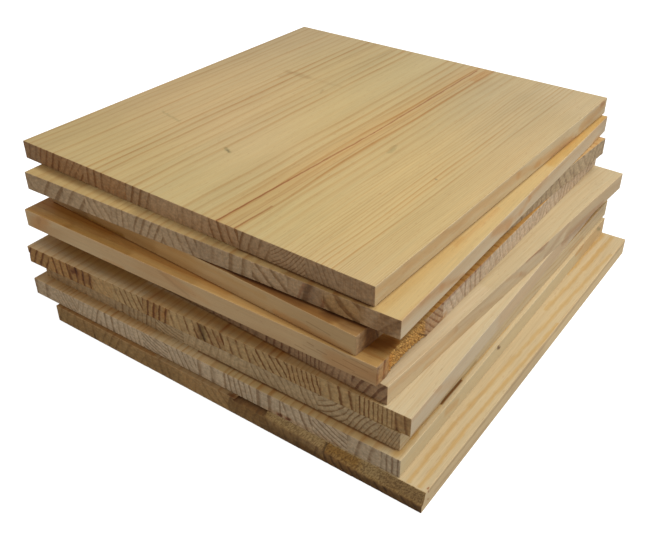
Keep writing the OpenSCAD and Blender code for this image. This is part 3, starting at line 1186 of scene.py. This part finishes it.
def cross_cut(s, wood, line, ramp, cast, light, dark):
    """The colour of an end sawn across the grain, and the height of its pores."""
    warm, tone, seed = cast
    speckle = s.clouds(wood, (0.8, 9, 0.8), 3.0)
    patch = s.clouds(wood, (10, 30, 7), 4.0, seed)
    blotch = s.split(s.clouds(wood, (3.2, 20, 2.6), 4.0, output="Color"))
    saw = s.clouds(wood, (1.1, 60, 14), 2.0)
    shade = s.fma(line, 0.95, s.times(ramp, 0.16))
    shade = s.fma(s.ease(0.45, 0.75, patch), 0.35, shade, clamp=True)
    heat = s.fma(s.minus(blotch[0], 0.5), 1.3, s.minus(warm, 0.03))
    end = s.tint(s.math("MAXIMUM", heat, 0.0), s.mix(shade, light, dark), WARM)
    level = s.fma(speckle, 0.6, s.fma(saw, 0.3, 0.55))
    level = s.times(level, s.fma(blotch[1], 1.0, 0.5))
    end = s.tint(1.0, end, s.times(level, tone))
    return end, s.fma(speckle, 0.25, s.times(saw, 0.1))


def pine(board):
    """The material of one board: growth rings through the solid, fibres and saw marks."""
    end_light, end_dark, tint, edge_tint, wander = LOOKS[board.node]
    material = bpy.data.materials.new(board.node + "_pine")
    s = Shader.of(material)
    wood = s.stored("wood", "Vector")
    sawn = s.stored("sawn")
    cast = s.split(s.stored("cast", "Vector"))
    line, ramp = ring_lines(s, wood, wander)
    face, face_height = planed(s, wood, line, ramp, cast, tint, edge_tint)
    end, end_height = cross_cut(s, wood, line, ramp, cast, end_light, end_dark)
    paint = s.mix(sawn, face, end)
    if board.node in TORN:
        light, dark, chip = TORN[board.node]
        clumps = s.clouds(s.tilted(s.stored("solid", "Vector")), (0.9, 7, chip), 4.0)
        fibres = s.mix(s.ease(0.32, 0.64, clumps), dark, light)
        paint = s.mix(s.stored("torn"), paint, fibres)
    height = {"Distance": MM, "Height": s.blend(sawn, face_height, end_height)}
    given = {
        "Base Color": marked(s, board, paint, wood),
        "Roughness": s.fma(sawn, 0.25, 0.58),
        "Normal": s.node("ShaderNodeBump", height).outputs[0],
        "Specular IOR Level": 0.35,
    }
    shader = s.node("ShaderNodeBsdfPrincipled", given)
    s.node("ShaderNodeOutputMaterial", {"Surface": shader.outputs[0]})
    return material


# ---------------- stage, light, camera

# Where the camera stands from the top board's front right corner, right, back and up
# from the floor, in metres, and the directions of its sight and of its right
CAMERA_PLACE = Vector((0.26096, -0.39686, 0.49488))
SIGHT = Vector((-0.50479, 0.65955, -0.55694))
SIGHT_RIGHT = Vector((0.79663, 0.60444, -0.00623))
LENS = 45.4
# Half the floor's width, how far it lies below the boards, its grey, and how much
# light it gives off where the camera sees it, so that it renders white
FLOOR_HALF = 6.0
FLOOR_DROP = 0.3 * MM
FLOOR_GREY = 0.5
FLOOR_GLOW = 0.9
# The world's grey as the boards see it
SKY_GREY = 0.47
# The lamps: where each stands, how wide it is (metres), its power and its tone, and
# the place that they point at
LAMPS = {
    "key": ((0.9, 0.35, 2.15), 1.6, 33.0, (0.97, 0.98, 1.0)),
    "window": ((2.4, 0.3, 0.7), 1.2, 7.0, (0.72, 0.87, 1.0)),
}
LAMPS_AIM = Vector((0, 0, 0.1))


def make_camera():
    low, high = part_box("top_board")
    data = bpy.data.cameras.new("camera")
    data.lens = LENS
    data.sensor_width = 36.0
    camera = linked("camera", data)
    back = -SIGHT.normalized()
    right = (SIGHT_RIGHT - SIGHT_RIGHT.dot(back) * back).normalized()
    turn = Matrix((right, back.cross(right), back)).transposed()
    place = Vector((high[0], low[1], 0.0)) + CAMERA_PLACE
    camera.matrix_world = Matrix.Translation(place) @ turn.to_4x4()
    bpy.context.scene.camera = camera


def make_floor():
    mesh = bpy.data.meshes.new("floor")
    corners = [(-1, -1), (1, -1), (1, 1), (-1, 1)]
    points = [(x * FLOOR_HALF, y * FLOOR_HALF, -FLOOR_DROP) for x, y in corners]
    mesh.from_pydata(points, [], [(0, 1, 2, 3)])
    floor = linked("floor", mesh)
    material = bpy.data.materials.new("floor")
    s = Shader.of(material)
    seen = s.node("ShaderNodeLightPath").outputs["Is Camera Ray"]
    plain = s.node("ShaderNodeBsdfDiffuse", {"Color": [FLOOR_GREY] * 3}).outputs[0]
    glow = s.node("ShaderNodeEmission", {"Strength": FLOOR_GLOW}).outputs[0]
    shown = s.node("ShaderNodeAddShader", {0: plain, 1: glow}).outputs[0]
    either = s.node("ShaderNodeMixShader", {0: seen, 1: plain, 2: shown}).outputs[0]
    s.node("ShaderNodeOutputMaterial", {"Surface": either})
    mesh.materials.append(material)


def make_lights():
    world = bpy.data.worlds.new("world")
    bpy.context.scene.world = world
    s = Shader.of(world)
    seen = s.node("ShaderNodeLightPath").outputs["Is Camera Ray"]
    sky = s.mix(seen, [SKY_GREY] * 3, [1.0] * 3)
    shown = s.node("ShaderNodeBackground", {"Color": sky}).outputs[0]
    s.node("ShaderNodeOutputWorld", {"Surface": shown})
    for name, (place, size, power, tone) in LAMPS.items():
        data = bpy.data.lights.new(name, "AREA")
        data.shape = "DISK"
        data.size = size
        data.energy = power
        data.color = tone
        lamp = linked(name, data)
        lamp.location = place
        lamp.rotation_mode = "QUATERNION"
        lamp.rotation_quaternion = (Vector(place) - LAMPS_AIM).to_track_quat("Z", "Y")


# ---------------- the scene

bpy.context.scene.view_settings.view_transform = "Standard"
make_camera()
make_lights()
make_floor()
for name in STAVES:
    this = Board(name)
    wooden = board_piece(this)
    wooden.data.materials.append(pine(this))
    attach(wooden, "root")
    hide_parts(name)
